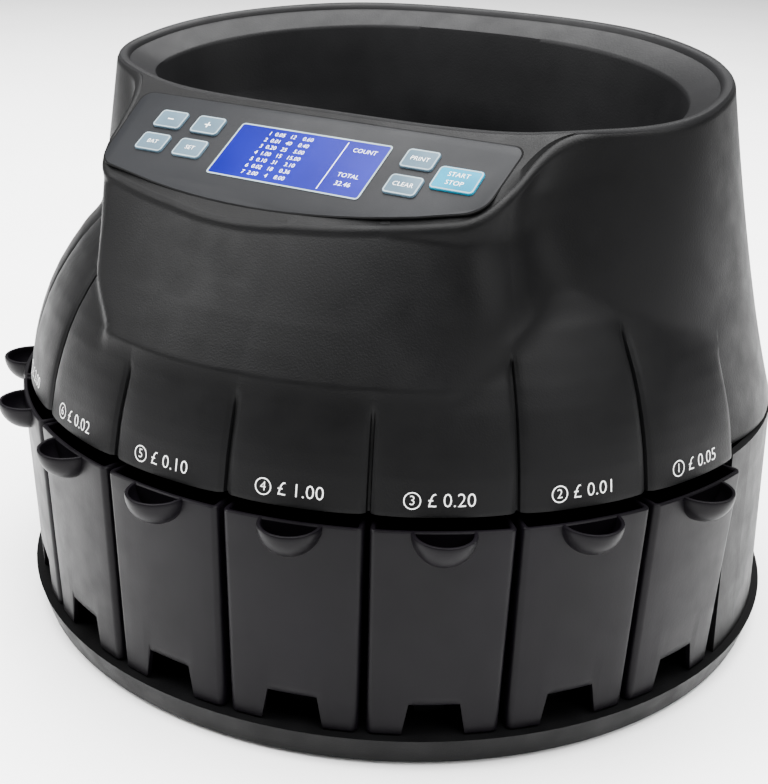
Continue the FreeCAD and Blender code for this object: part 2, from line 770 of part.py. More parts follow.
def panel_rectangle(x, v, width, depth, low, high, corner):
    points = [(x - width / 2, v - depth / 2), (x + width / 2, v - depth / 2),
              (x + width / 2, v + depth / 2), (x - width / 2, v + depth / 2)]
    return panel_slab(points, low, high, [corner] * 4)


OVERLAY = [(-91, -16.5), (91, -16.5), (95, 30.5), (-95, 30.5)]
OVERLAY_CORNERS = [22, 22, 4, 4]

# each key: its place across the panel and up its slope
KEYS = {
    "key_minus": (-64.0, 17.8),
    "key_plus": (-44.2, 17.8),
    "key_batch": (-64.0, 3.9),
    "key_set": (-44.2, 3.9),
    "key_print": (57.2, 17.8),
    "key_clear": (57.2, 3.9),
    "key_start_stop": (76.4, 10.8),
}


def key_size(node):
    if node == "key_start_stop":
        return "start_width", "start_depth"
    return "key_width", "key_depth"


def key_holes(low, high):
    holes = []
    for node, (x, v) in KEYS.items():
        width, depth = (size(alias) + 2 * size("key_gap") for alias in key_size(node))
        holes.append(panel_rectangle(x, v, width, depth, low, high, 2.2))
    return holes


def upper_housing():
    above = side_prism([(-300, panel_height(-300, size("bezel_rise"))),
                        (size("crease_y"), panel_height(size("crease_y"), size("bezel_rise"))),
                        (size("crease_y"), rim_height(size("crease_y"))),
                        (300, rim_height(300)), (300, 600), (-300, 600)])
    depth = -size("overlay_plate") - size("panel_wall")
    under_panel = side_prism([(-300, panel_height(-300, depth)),
                              (size("crease_y"), panel_height(size("crease_y"), depth)),
                              (size("crease_y"), 600), (-300, 600)])
    outside = upper_outline(0, size("collar_bottom")).cut(above)
    inside = upper_outline(size("shell_wall"), size("collar_bottom") - 10).cut(under_panel)
    shell = outside.cut(inside)
    bosses = []
    for angle in SHELL_SCREW_ANGLES:
        spot = polar(size("deck_radius") - 5, angle)
        low = size("deck_bottom") + size("deck_plate")
        boss = Part.makeCylinder(4.5, 34, Vector(spot.x, spot.y, low)).common(outside)
        bosses.append(boss.cut(Part.makeCylinder(size("screw_radius"), 14, Vector(spot.x, spot.y, low))))
    shell = shell.fuse(bosses)
    recess = panel_slab([(x * 1.005, y + (0.3 if y > 0 else -0.3)) for x, y in OVERLAY],
                        -size("overlay_plate"), 30, OVERLAY_CORNERS)
    cutouts = [panel_shape(recess)]
    window = panel_rectangle(size("window_x"), size("window_v"), size("window_width") - 5,
                             size("window_depth") - 4, -30, 30, 1.5)
    cutouts.append(panel_shape(window))
    cutouts.extend(panel_shape(hole) for hole in key_holes(-12, 30))
    for tool in cutouts:
        shell = shell.cut(tool)
    made_part("upper_housing", shell)


def housing_screws():
    screws = []
    for index, angle in enumerate(SHELL_SCREW_ANGLES):
        head = cylinder(f"housing_screw_head_{index + 1}", "screw_head", "1.8")
        radial(head, "deck_radius - 5", angle, "deck_bottom - 1.8")
        stem = cylinder(f"housing_screw_stem_{index + 1}", "screw_radius", "14")
        radial(stem, "deck_radius - 5", angle, "deck_bottom")
        screws.append(fuse(f"housing_screw_{index + 1}", head, stem))
    sub_part("housing_screws", group("housing_screws", *screws))


upper_housing()
housing_screws()


# ---------------------------------------------------------------------------
# Hopper bowl: a steep funnel inside the rim. Its flat bottom flange rests on
# the guide ring and keeps the coins one layer deep on the carrier disc.
# ---------------------------------------------------------------------------
def funnel(inset, low):
    """The bowl's form: it follows the housing down to a shoulder, then narrows to the round throat."""
    gap = size("shell_wall") + size("running_gap") + inset
    foot_radius = size("rear_collar_radius") - gap
    shoulder = oval(size("bowl_shoulder"), gap, foot_radius, size("collar_bottom"))
    upper = tapered_body(gap, foot_radius, size("collar_bottom"), size("bowl_shoulder"))
    throat = Part.Wire(Part.Circle(Vector(0, 0, low), Vector(0, 0, 1),
                                   size("bowl_throat") + size("bowl_wall") - inset).toShape())
    front = size("crease_y") + size("running_gap") + inset
    keep = Part.makeBox(600, 600, 400, Vector(-300, front, 0))
    return Part.makeLoft([throat, shoulder], True, True).fuse(upper).common(keep)


def hopper_bowl():
    floor = size("bowl_floor")
    wall = size("bowl_wall")
    above = side_prism([(-300, rim_height(-300) - 1.2), (300, rim_height(300) - 1.2), (300, 600), (-300, 600)])
    flange = Part.makeCylinder(size("guide_radius") + size("guide_wall"), wall, Vector(0, 0, floor))
    flange = flange.common(Part.makeBox(600, 300 + size("deck_flat"), 400, Vector(-300, -300, 0)))
    solid = funnel(0, floor).fuse(flange).cut(above)
    made_part("hopper_bowl", solid.cut(funnel(wall, floor)))


hopper_bowl()


# ---------------------------------------------------------------------------
# Control panel: a printed overlay in a recess, a display window with its
# module behind, seven sprung keys, and the board that carries their switches.
# ---------------------------------------------------------------------------
def panel_overlay():
    plate = panel_slab(OVERLAY, -size("overlay_plate"), 0, OVERLAY_CORNERS)
    holes = key_holes(-5, 5)
    holes.append(panel_rectangle(size("window_x"), size("window_v"), size("window_width") + 0.2,
                                 size("window_depth") + 0.2, -5, 5, 0.3))
    for hole in holes:
        plate = plate.cut(hole)
    made_part("panel_overlay", panel_shape(plate))


def on_panel(node, item, x, v, w):
    """Set a finished piece on the panel's slope: x across, v up the slope, w out of it."""
    item.Placement = Placement(Vector(0, 0, 0), Rotation(Vector(1, 0, 0), size("panel_tilt")))
    item.Label = node
    SUB_PARTS[node] = item
    return bind(item, x=x, turn="panel_tilt",
                y=f"axis_y + panel_y + ({v}) * cos(panel_tilt) - ({w}) * sin(panel_tilt)",
                z=f"panel_z + ({v}) * sin(panel_tilt) + ({w}) * cos(panel_tilt)")


def key(node, x, v):
    """A moulded key cap with a flange that keeps it under the housing."""
    width, depth = key_size(node)
    body = doc.addObject("PartDesign::Body", node)
    cap = body.newObject("PartDesign::AdditiveBox", f"{node}_cap")
    bind(cap, Length=width, Width=depth, Height="key_reach + key_rise", x=f"-{width} / 2", y=f"-{depth} / 2")
    doc.recompute()
    upright = [f"Edge{number}" for number, edge in enumerate(cap.Shape.Edges, start=1)
               if abs(edge.tangentAt(edge.FirstParameter).z) > 0.99]
    round_off = body.newObject("PartDesign::Fillet", f"{node}_corners")
    round_off.Base = (cap, upright)
    round_off.Radius = 1.8
    flange = body.newObject("PartDesign::AdditiveBox", f"{node}_flange")
    bind(flange, Length=f"{width} + 2.4", Width=f"{depth} + 2.4", Height="1.4",
         x=f"-{width} / 2 - 1.2", y=f"-{depth} / 2 - 1.2", z="key_reach - overlay_plate - panel_wall - 1.7")
    body.Tip = flange
    on_panel(node, body, x, v, "-key_reach")


def panel_parts():
    lens = block("lens_plate", "window_width", "window_depth", "1.2", x="-window_width / 2",
                 y="-window_depth / 2")
    on_panel("display_window", group("display_window", lens), "window_x", "window_v", "-overlay_plate + 0.02")
    glass = block("module_glass", "window_width - 1", "window_depth + 3", "2.6", x="0.5 - window_width / 2",
                  y="-1.5 - window_depth / 2", z="4")
    board = block("module_board", "window_width + 9", "window_depth + 8", "1.6", x="-4.5 - window_width / 2",
                  y="-4 - window_depth / 2", z="2.4")
    pins = block("module_pins", "40", "2.4", "2.4", x="-20", y="window_depth / 2")
    module = fuse("display_module", glass, board, pins)
    on_panel("display_module", module, "window_x", "window_v", "-overlay_plate - panel_wall - 6.8")
    plate = block("key_board_plate", "166", "34", "1.6", x="-83", y="-9")
    switches = []
    for index, (x, v) in enumerate(KEYS.values()):
        switches.append(cylinder(f"key_switch_{index + 1}", "3", "1.5", x=x, y=v, z="1.6"))
    on_panel("key_board", fuse("key_board", plate, *switches), "0", "0", "-key_reach - key_travel - 3.3")


panel_overlay()
panel_parts()
for node, (x, v) in KEYS.items():
    key(node, x, v)


# ---------------------------------------------------------------------------
# Electronics in the rear bay: power supply, main board on its standoffs, and
# the inlet, switch and data port that show through the rear cover.
# ---------------------------------------------------------------------------
BOARD_SPOTS = ((24, 66), (92, 66), (24, 108), (92, 108))


def power_supply():
    board = block("supply_board", "92", "48", "1.6", x="-104", y="58", z="tray_top + 6")
    can = block("supply_transformer", "34", "30", "26", x="-98", y="66", z="tray_top + 7.6")
    sink = block("supply_heat_sink", "3", "40", "24", x="-58", y="62", z="tray_top + 7.6")
    capacitor = cylinder("supply_capacitor", "9", "28", x="-40", y="76", z="tray_top + 7.6")
    posts = [cylinder(f"supply_post_{index + 1}", "3", "6", x=x, y=y, z="tray_top")
             for index, (x, y) in enumerate(((-100, 62), (-16, 62), (-100, 102), (-16, 102)))]
    sub_part("power_supply", fuse("power_supply", board, can, sink, capacitor))
    sub_part("supply_posts", group("supply_posts", *posts))


def main_board():
    board = block("board_plate", "84", "54", "1.6", x="16", y="60", z="tray_top + 8")
    chips = [block("board_processor", "14", "14", "1.8", x="44", y="80", z="tray_top + 9.6"),
             block("board_driver", "10", "7", "1.8", x="76", y="92", z="tray_top + 9.6"),
             block("board_connector", "26", "5", "7", x="30", y="63", z="tray_top + 9.6")]
    posts = [cylinder(f"board_post_{index + 1}", "3", "8", x=x, y=y, z="tray_top")
             for index, (x, y) in enumerate(BOARD_SPOTS)]
    sub_part("main_board", fuse("main_board", board, *chips))
    sub_part("board_standoffs", group("board_standoffs", *posts))


def rear_block(name, x, width, height, start, end):
    """A block in the rear face, centred on the sockets' height."""
    return block(name, width, f"({end}) - ({start})", height, x=f"{x} - {width} / 2", y=start,
                 z=f"socket_height - {height} / 2")


def power_inlet():
    shell = fuse("inlet_shell", rear_block("inlet_body", INLET_X, 27, 20, "cover_flat - 24", "cover_flat"),
                 rear_block("inlet_flange", INLET_X, 32, 25, "cover_flat", "cover_flat + 2.2"))
    hollow = cut("inlet_emptied", shell, rear_block("inlet_space", INLET_X, 24, 16.5, "cover_flat - 17",
                                                    "cover_flat + 5"))
    pins = [block(f"inlet_pin_{index + 1}", "2", "16", "4", x=x, y="cover_flat - 18", z=z)
            for index, (x, z) in enumerate(((INLET_X - 8, "socket_height - 3"), (INLET_X + 6, "socket_height - 3"),
                                            (INLET_X - 1, "socket_height + 2")))]
    sub_part("power_inlet", fuse("power_inlet", hollow, *pins))


def power_switch():
    shell = fuse("switch_shell", rear_block("switch_body", SWITCH_X, 23, 17, "cover_flat - 16", "cover_flat"),
                 rear_block("switch_flange", SWITCH_X, 26, 20, "cover_flat", "cover_flat + 1.2"))
    space = rear_block("switch_space", SWITCH_X, 20.4, 13, "cover_flat - 12", "cover_flat + 5")
    bore = cylinder("switch_bore", "1.55", "16", x=SWITCH_X, y="cover_flat - 3.5", z="socket_height - 8")
    sub_part("switch_housing", cut("switch_housing", shell, fuse("switch_hollows", space, bore)))
    pivot_y = size("cover_flat") - 3.5
    centre = Vector(SWITCH_X, pivot_y, size("socket_height"))
    outline = [(-8.6, 4.4), (0, 2.4), (8.6, 4.4), (8.6, 1.5), (4, -4), (-4, -4), (-8.6, 1.5)]
    rocker = prism(outline, -6.2, 6.2).fuse(Part.makeCylinder(1.5, 15, Vector(0, 0, -7.5)))
    rocker.rotate(Vector(0, 0, 0), Vector(0, 0, 1), -7)
    rocker.translate(centre)
    made_part("switch_rocker", rocker)


def data_port():
    shell = rear_block("port_body", PORT_X, 16, 13, "cover_flat - 15", "cover_flat + 1")
    hollow = cut("port_emptied", shell, rear_block("port_space", PORT_X, 12.4, 9.4, "cover_flat - 11",
                                                   "cover_flat + 5"))
    tongue = block("port_contacts", "9", "8", "1.4", x=PORT_X - 4.5, y="cover_flat - 12", z="socket_height + 3")
    sub_part("data_port", fuse("data_port", hollow, tongue))


power_supply()
main_board()
power_inlet()
power_switch()
data_port()


# ---------------------------------------------------------------------------
# Every object is checked before any sub-part is written to its own file.
# ---------------------------------------------------------------------------
doc.recompute()
for item in doc.Objects:
    if "Invalid" in item.State or "Error" in item.State:
        raise RuntimeError(f"{item.Name} failed: {item.State}")
for node, item in SUB_PARTS.items():
    if item.Shape.isNull() or not item.Shape.isValid() or item.Shape.Volume <= 0:
        raise RuntimeError(f"{node} has no valid shape")
for node, item in SUB_PARTS.items():
    item.Shape.exportStep(f"parts/{node}.step")
print(f"{len(SUB_PARTS)} sub-parts written")
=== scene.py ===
import bpy
import functools
import math
from mathutils import Matrix, Vector


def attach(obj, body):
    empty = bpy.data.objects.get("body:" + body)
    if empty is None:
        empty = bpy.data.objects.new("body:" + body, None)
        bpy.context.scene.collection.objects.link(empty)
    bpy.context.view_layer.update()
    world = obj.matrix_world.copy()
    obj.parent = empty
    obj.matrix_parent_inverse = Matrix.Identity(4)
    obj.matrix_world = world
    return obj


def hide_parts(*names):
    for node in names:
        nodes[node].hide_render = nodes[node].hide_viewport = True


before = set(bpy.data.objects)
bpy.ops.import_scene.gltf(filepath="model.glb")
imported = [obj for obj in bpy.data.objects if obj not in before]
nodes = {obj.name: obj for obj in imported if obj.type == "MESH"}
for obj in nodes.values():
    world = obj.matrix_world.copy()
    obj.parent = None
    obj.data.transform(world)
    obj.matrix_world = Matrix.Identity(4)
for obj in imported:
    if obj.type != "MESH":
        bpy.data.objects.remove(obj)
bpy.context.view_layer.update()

# ---- base tray and feet ------------------------------------------------------------------
# The tray is moulded ABS with a light spark texture. It stands on four rubber feet held by
# cross-head screws, and its raised rails guide the cups.

def new_material(name, metallic=0.0):
    """An empty procedural material: its nodes, a way to link sockets, and its shader."""
    material = bpy.data.materials.new(name)
    material.use_nodes = True
    tree = material.node_tree
    shader = tree.nodes["Principled BSDF"]
    shader.inputs["Metallic"].default_value = metallic
    place = tree.nodes.new("ShaderNodeTexCoord")
    return material, tree, shader, place.outputs["Object"]


def noise(tree, place, scale, detail=3.0, stretch=(1.0, 1.0, 1.0)):
    """A noise value over the piece; scale is in cells a metre, and stretch pulls it into streaks."""
    stretched = tree.nodes.new("ShaderNodeMapping")
    stretched.inputs["Scale"].default_value = stretch
    tree.links.new(place, stretched.inputs["Vector"])
    cells = tree.nodes.new("ShaderNodeTexNoise")
    cells.inputs["Scale"].default_value = scale
    cells.inputs["Detail"].default_value = detail
    tree.links.new(stretched.outputs["Vector"], cells.inputs["Vector"])
    return cells.outputs["Fac"]


def tones(tree, value, stops):
    """Colours laid along a value: stops are (place along the value, (r, g, b))."""
    ramp = tree.nodes.new("ShaderNodeValToRGB")
    marks = ramp.color_ramp.elements
    while len(marks) < len(stops):
        marks.new(0.5)
    for mark, (place, colour) in zip(marks, stops):
        mark.position = place
        mark.color = (*colour, 1.0)
    tree.links.new(value, ramp.inputs["Fac"])
    return ramp.outputs["Color"]


def spread(tree, value, low, high):
    """A value that runs from about 0.3 to 0.7, brought to the range low to high."""
    scaled = tree.nodes.new("ShaderNodeMapRange")
    scaled.inputs["From Min"].default_value = 0.3
    scaled.inputs["From Max"].default_value = 0.7
    scaled.inputs["To Min"].default_value = low
    scaled.inputs["To Max"].default_value = high
    tree.links.new(value, scaled.inputs["Value"])
    return scaled.outputs["Result"]


def relief(tree, shader, value, depth):
    """Raises and lowers the skin by a value; depth is in metres."""
    bump = tree.nodes.new("ShaderNodeBump")
    bump.inputs["Distance"].default_value = depth
    tree.links.new(value, bump.inputs["Height"])
    tree.links.new(bump.outputs["Normal"], shader.inputs["Normal"])


def effect(name, values, layers):
    """A node group of noise layers, shared by the materials that place it. Values are the names
    of its number inputs; a layer is (output, input that sets its cell size, detail)."""
    group = bpy.data.node_groups.new(name, "ShaderNodeTree")
    group.interface.new_socket("Place", in_out="INPUT", socket_type="NodeSocketVector")
    group.interface.new_socket("Stretch", in_out="INPUT", socket_type="NodeSocketVector")
    for value in values:
        group.interface.new_socket(value, in_out="INPUT", socket_type="NodeSocketFloat")
    entry = group.nodes.new("NodeGroupInput")
    result = group.nodes.new("NodeGroupOutput")
    stretched = group.nodes.new("ShaderNodeMapping")
    group.links.new(entry.outputs["Place"], stretched.inputs["Vector"])
    group.links.new(entry.outputs["Stretch"], stretched.inputs["Scale"])
    for output, cell_input, detail in layers:
        group.interface.new_socket(output, in_out="OUTPUT", socket_type="NodeSocketFloat")
        cells = group.nodes.new("ShaderNodeTexNoise")
        cells.inputs["Detail"].default_value = detail
        group.links.new(entry.outputs[cell_input], cells.inputs["Scale"])
        group.links.new(stretched.outputs["Vector"], cells.inputs["Vector"])
        group.links.new(cells.outputs["Fac"], result.inputs[output])
    return group


def placed_effect(tree, group, place, stretch, **values):
    """Places a shared effect in a material with that material's own values."""
    node = tree.nodes.new("ShaderNodeGroup")
    node.node_tree = group
    node.inputs["Stretch"].default_value = stretch
    for value, amount in values.items():
        node.inputs[value].default_value = amount
    tree.links.new(place, node.inputs["Place"])
    return node.outputs


spark_texture = effect("spark_texture", ("Patches", "Rubbing", "Grain"),
                       (("Cloud", "Patches", 4.0), ("Wear", "Rubbing", 5.0), ("Pits", "Grain", 2.0)))
tool_marks = effect("tool_marks", ("Grain",), (("Marks", "Grain", 4.0),))
even = (1.0, 1.0, 1.0)
abs_gloss_level = 0.07


def moulded(name, dark, light, gloss, grain=1400.0, depth=0.00008, patches=14.0):
    """Moulded plastic: two close tones in faint patches, and a fine spark texture that
    breaks up the gloss. Gloss is the lowest and highest roughness."""
    material, tree, shader, place = new_material(name)
    texture = placed_effect(tree, spark_texture, place, even,
                            Patches=patches, Rubbing=patches * 6.0, Grain=grain)
    tree.links.new(tones(tree, texture["Cloud"], [(0.35, dark), (0.65, light)]), shader.inputs["Base Color"])
    tree.links.new(spread(tree, texture["Wear"], *gloss), shader.inputs["Roughness"])
    shader.inputs["Specular IOR Level"].default_value = abs_gloss_level
    relief(tree, shader, texture["Pits"], depth)
    return material


def metal(name, dark, light, gloss, stretch=even, grain=300.0, depth=0.00004):
    """Bare metal with fine tool marks along one direction."""
    material, tree, shader, place = new_material(name, metallic=1.0)
    marks = placed_effect(tree, tool_marks, place, stretch, Grain=grain)["Marks"]
    tree.links.new(tones(tree, marks, [(0.3, dark), (0.7, light)]), shader.inputs["Base Color"])
    tree.links.new(spread(tree, marks, *gloss), shader.inputs["Roughness"])
    relief(tree, shader, marks, depth)
    return material


def finish_nodes(material, *names):
    """Gives the shown CAD parts with these names one material."""
    for name in names:
        nodes[name].data.materials.clear()
        nodes[name].data.materials.append(material)


tray_plastic = moulded("tray_plastic", (0.0012, 0.0012, 0.0013), (0.0020, 0.0020, 0.0022), (0.42, 0.58))
foot_rubber = moulded("foot_rubber", (0.012, 0.012, 0.012), (0.03, 0.03, 0.03), (0.75, 0.95), 700.0, 0.0002)
screw_metal = metal("screw_metal", (0.10, 0.10, 0.11), (0.18, 0.18, 0.19), (0.25, 0.5), grain=900.0)
finish_nodes(tray_plastic, "base_tray")
finish_nodes(foot_rubber, "rubber_feet")
finish_nodes(screw_metal, "foot_screws", "cover_screws", "housing_screws")

# ---- coin cups ---------------------------------------------------------------------------
# Nine wedge cups ring the drum, injection moulded in a smoother black than the housing. Each
# has rounded corners, a half-bowl finger scoop on its lip and a notch at its foot.

axis_y = 0.02525
cup_count = 9
cup_pitch = math.radians(18.15)
cup_foot = 0.0143
cup_top = 0.1042
cup_floor = 0.0305
wall = 0.0022
foot_face = 0.1740
lip_face = 0.1775
cup_back = 0.0900
foot_gap = 0.0030
lip_gap = 0.0020
notch_half_foot = 0.0123
notch_half_top = 0.0099
notch_height = 0.0137
scoop_half = 0.0122
scoop_reach = 0.0126
scoop_wall = 0.0016


def drum_point(radius, angle, height):
    """A point about the drum's axis; angle 0 is the front, and it grows towards +X."""
    return Vector((radius * math.sin(angle), axis_y - radius * math.cos(angle), height))


def skin(name, rows, material, body, round_shut=True, caps=(), sharp=38.0):
    """A smooth skin over rows of points. Caps are the rows that are closed by a flat face."""
    count = len(rows[0])
    points = [point for row in rows for point in row]
    faces = []
    for row in range(len(rows) - 1):
        for step in range(count if round_shut else count - 1):
            here = row * count + step
            beside = row * count + (step + 1) % count
            faces.append((here, beside, beside + count, here + count))
    for cap in caps:
        start = (cap % len(rows)) * count
        faces.append(tuple(range(start, start + count)))
    return piece(name, points, faces, material, body, sharp)


def piece(name, points, faces, material, body, sharp=38.0):
    """A mesh of the object, with its finish, its edges and the body it moves with."""
    mesh = bpy.data.meshes.new(name)
    mesh.from_pydata([tuple(point) for point in points], [], faces)
    mesh.materials.append(material)
    mesh.shade_smooth()
    mesh.set_sharp_from_angle(angle=math.radians(sharp))
    made = bpy.data.objects.new(name, mesh)
    bpy.context.scene.collection.objects.link(made)
    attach(made, body)
    return made


def arc(centre, radius, start, end, count):
    """Points along an arc in plan, from one direction to another."""
    turn = [start + (end - start) * step / (count - 1) for step in range(count)]
    return [(centre[0] + radius * math.cos(a), centre[1] + radius * math.sin(a)) for a in turn]


def wedge(outer, inner, gap, inset, corner):
    """Half of a cup's outline in plan, from the middle of its face to the middle of its back."""
    side = cup_pitch / 2.0
    flat = math.atan2(-math.sin(side), math.cos(side))
    away = gap / 2.0 + inset + corner
    face_reach = math.sqrt((outer - inset - corner) ** 2 - away ** 2)
    back_reach = math.sqrt((inner + inset + corner) ** 2 - away ** 2)
    along = (math.sin(side), math.cos(side))
    off = (-math.cos(side), math.sin(side))
    face_corner = [face_reach * along[i] + away * off[i] for i in range(2)]
    back_corner = [back_reach * along[i] + away * off[i] for i in range(2)]
    face_turn = math.atan2(face_corner[1], face_corner[0])
    back_turn = math.atan2(back_corner[1], back_corner[0])
    line = []
    reach = outer - inset
    edge = math.cos(face_turn) * reach
    for across in (0.0, 0.004, 0.008, notch_half_top, notch_half_foot, 0.0135, 0.018):
        if across < edge - 0.0006:
            line.append((across, math.sqrt(reach ** 2 - across ** 2)))
    line += arc(face_corner, corner, face_turn, flat, 7)
    line += arc(back_corner, corner, flat, back_turn - math.pi, 4)
    back = inner + inset
    for part in (0.6, 0.3, 0.0):
        across = math.cos(back_turn) * back * part
        line.append((across, math.sqrt(back ** 2 - across ** 2)))
    return line


def cup_row(turn, outer, inset, height, gap=foot_gap, corner=0.0028, notched=False):
    """One level of a cup right round its outline; the notch lifts the level in the face."""
    half = wedge(outer, cup_back, gap, inset, max(corner - inset, 0.0012))
    whole = half + [(-across, reach) for across, reach in reversed(half[1:-1])]
    row = []
    for across, reach in whole:
        level = height
        if notched and reach > foot_face - 0.024 and abs(across) < notch_half_foot - 0.00001:
            level = height + notch_height
        radius = math.hypot(across, reach)
        row.append(drum_point(radius, turn + math.atan2(across, reach), level))
    return row


cup_plastic = moulded("cup_plastic", (0.0011, 0.0008, 0.0013), (0.0019, 0.0015, 0.0023),
                      (0.34, 0.46), 1100.0, 0.00003)


def build_cup(number):
    """A cup from its foot up over its lip and down to its floor, then its underside."""
    turn = cup_pitch * (cup_count // 2 + 1 - number)
    rise = cup_top - cup_foot

    def face(height):
        return foot_face + (lip_face - foot_face) * (height - cup_foot) / rise

    def gap(height):
        return foot_gap - (foot_gap - lip_gap) * (height - cup_foot) / rise

    rows = [cup_row(turn, foot_face, 0.0006, cup_foot, notched=True)]
    rows.append(cup_row(turn, foot_face, 0.0, cup_foot + 0.0007, notched=True))
    for part in (0.2, 0.35, 0.5, 0.65, 0.8, 0.92, 0.985):
        height = cup_foot + rise * part
        rows.append(cup_row(turn, face(height), 0.0, height, gap(height)))
    for inset, drop in ((0.0001, 0.0006), (0.0005, 0.0001), (0.0011, 0.0),
                        (0.0017, 0.0001), (0.0021, 0.0006)):
        rows.append(cup_row(turn, lip_face, inset, cup_top - drop, lip_gap))
    for height in (0.08, 0.055, cup_floor + 0.002):
        rows.append(cup_row(turn, face(height), wall, height, gap(height)))
    rows.append(cup_row(turn, face(cup_floor), wall + 0.0006, cup_floor))
    under = [cup_row(turn, foot_face, 0.0006, cup_foot, notched=True)]
    under.append(cup_row(turn, foot_face, wall, cup_foot, notched=True))
    under.append(cup_row(turn, foot_face, wall, cup_floor - 0.0018))
    count = len(rows[0])
    points = [point for row in rows + under for point in row]
    faces = []
    for row in list(range(len(rows) - 1)) + [len(rows), len(rows) + 1]:
        for step in range(count):
            here = row * count + step
            beside = row * count + (step + 1) % count
            faces.append((here, beside, beside + count, here + count))
    faces.append(tuple(range((len(rows) - 1) * count, len(rows) * count)))
    faces.append(tuple(reversed(range((len(rows) + 2) * count, (len(rows) + 3) * count))))
    cup = piece(f"cup_{number}", points, faces, cup_plastic, f"coin_cup_{number}", 32.0)
    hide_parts(f"coin_cup_{number}")

    scoop_rows = []
    for step in range(13):
        dip = math.pi / 2.0 * (1.0 - step / 12.0)
        scoop_rows.append((scoop_half * math.cos(dip), scoop_reach * math.cos(dip),
                           scoop_half * math.sin(dip)))
    for lift in (45.0, 90.0, 135.0):
        over = math.radians(lift)
        in_by = 0.0008 * (1.0 - math.cos(over))
        scoop_rows.append((scoop_half - in_by, scoop_reach - in_by, -0.0006 * math.sin(over)))
    hollow_half = scoop_half - scoop_wall
    hollow_reach = scoop_reach - scoop_wall
    for step in range(13):
        dip = math.pi / 2.0 * step / 12.0
        scoop_rows.append((hollow_half * math.cos(dip), hollow_reach * math.cos(dip),
                           hollow_half * math.sin(dip)))
    out = []
    for wide, far, deep in scoop_rows:
        row = []
        for step in range(25):
            swing = math.radians(-96.0 + 8.0 * step)
            across = wide * math.sin(swing)
            ahead = lip_face - 0.0008 + far * math.cos(swing)
            angle = turn + math.atan2(across, ahead)
            row.append(drum_point(math.hypot(across, ahead), angle, cup_top - 0.0006 - deep))
        out.append(row)
    skin(f"cup_{number}_scoop", out, cup_plastic, f"coin_cup_{number}", round_shut=False)


for number in range(1, cup_count + 1):
    build_cup(number)

# ---- sorting deck, carrier disc and drive ---------------------------------------------------
# Coins ride in the pockets of a grey acetal disc round a bent steel guide, over the windows of
# the deck. A small gear motor turns the disc through a pair of nylon spur gears.

deck_plastic = moulded("deck_plastic", (0.0020, 0.0020, 0.0021), (0.0034, 0.0034, 0.0037), (0.5, 0.7))
guide_metal = metal("guide_metal", (0.42, 0.43, 0.45), (0.66, 0.67, 0.68), (0.18, 0.38),
                    (0.3, 0.3, 14.0))
disc_acetal = moulded("disc_acetal", (0.045, 0.046, 0.048), (0.062, 0.063, 0.066),
                      (0.35, 0.55), 900.0, 0.00005, 25.0)
shaft_metal = metal("shaft_metal", (0.24, 0.24, 0.25), (0.36, 0.36, 0.37), (0.2, 0.38),
                    (0.4, 0.4, 20.0))
bronze = metal("bronze", (0.35, 0.2, 0.08), (0.55, 0.36, 0.16), (0.3, 0.5))
gear_nylon = moulded("gear_nylon", (0.22, 0.215, 0.20), (0.28, 0.275, 0.255),
                     (0.35, 0.5), 800.0, 0.00004, 30.0)
motor_metal = metal("motor_metal", (0.3, 0.31, 0.32), (0.45, 0.46, 0.47), (0.25, 0.45),
                    (0.4, 0.4, 12.0))
plate_metal = metal("plate_metal", (0.4, 0.41, 0.42), (0.55, 0.55, 0.56), (0.3, 0.5), (12.0, 0.5, 0.5))


def circuit_board(name):
    """Green solder mask with paler copper tracks under it and rows of tinned pads."""
    material, tree, shader, place = new_material(name)
    tracks = tree.nodes.new("ShaderNodeTexBrick")
    tracks.inputs["Scale"].default_value = 160.0
    tracks.inputs["Mortar Size"].default_value = 0.05
    tracks.inputs["Color1"].default_value = (0.012, 0.09, 0.035, 1.0)
    tracks.inputs["Color2"].default_value = (0.016, 0.12, 0.05, 1.0)
    tracks.inputs["Mortar"].default_value = (0.03, 0.2, 0.08, 1.0)
    tree.links.new(place, tracks.inputs["Vector"])
    tree.links.new(tracks.outputs["Color"], shader.inputs["Base Color"])
    tree.links.new(spread(tree, noise(tree, place, 60.0), 0.25, 0.45), shader.inputs["Roughness"])
    relief(tree, shader, tracks.outputs["Fac"], 0.0001)
    return material


board_green = circuit_board("board_green")
finish_nodes(deck_plastic, "core_wall", "sort_deck", "deck_pillars")
finish_nodes(guide_metal, "guide_ring")
finish_nodes(disc_acetal, "carrier_disc")
finish_nodes(shaft_metal, "drive_shaft", "disc_nut", "motor_axle")
finish_nodes(bronze, "upper_bearing", "lower_bearing")
finish_nodes(gear_nylon, "drive_gear", "motor_pinion")
finish_nodes(motor_metal, "gear_motor", "power_supply")
finish_nodes(plate_metal, "drive_bracket", "supply_posts", "board_standoffs")
finish_nodes(board_green, "sensor_board", "main_board", "key_board")

# ---- upper housing -----------------------------------------------------------------------
# One large ABS moulding: a collar of nine crowned segments, the sloping body above it and the
# keypad block at the front, whose apron flares down onto the collar. The skin has a fine grain.

collar_foot = 0.108
collar_radius = 0.1740
body_radius = 0.1698
rear_flat = 0.1385
dome_line = [(0.1740, 0.108), (0.1727, 0.115), (0.1713, 0.122), (0.1694, 0.129), (0.1671, 0.136),
             (0.1640, 0.144), (0.1600, 0.152), (0.1550, 0.160), (0.1485, 0.169), (0.1400, 0.178),
             (0.1290, 0.186), (0.1150, 0.193), (0.0900, 0.199), (0.0600, 0.202)]
rim_middle = -0.018
rim_half = 0.1438
rim_shift = 0.0025
rim_front = 0.0610
rim_rear = 0.0925
panel_y = -0.1044
panel_z = 0.2125
panel_tilt = math.radians(32.7)
crease = -0.0750
block_front = 0.1250
block_bow = 0.0125
block_left = 0.0920
block_right = 0.1000
block_fillet = 0.0160


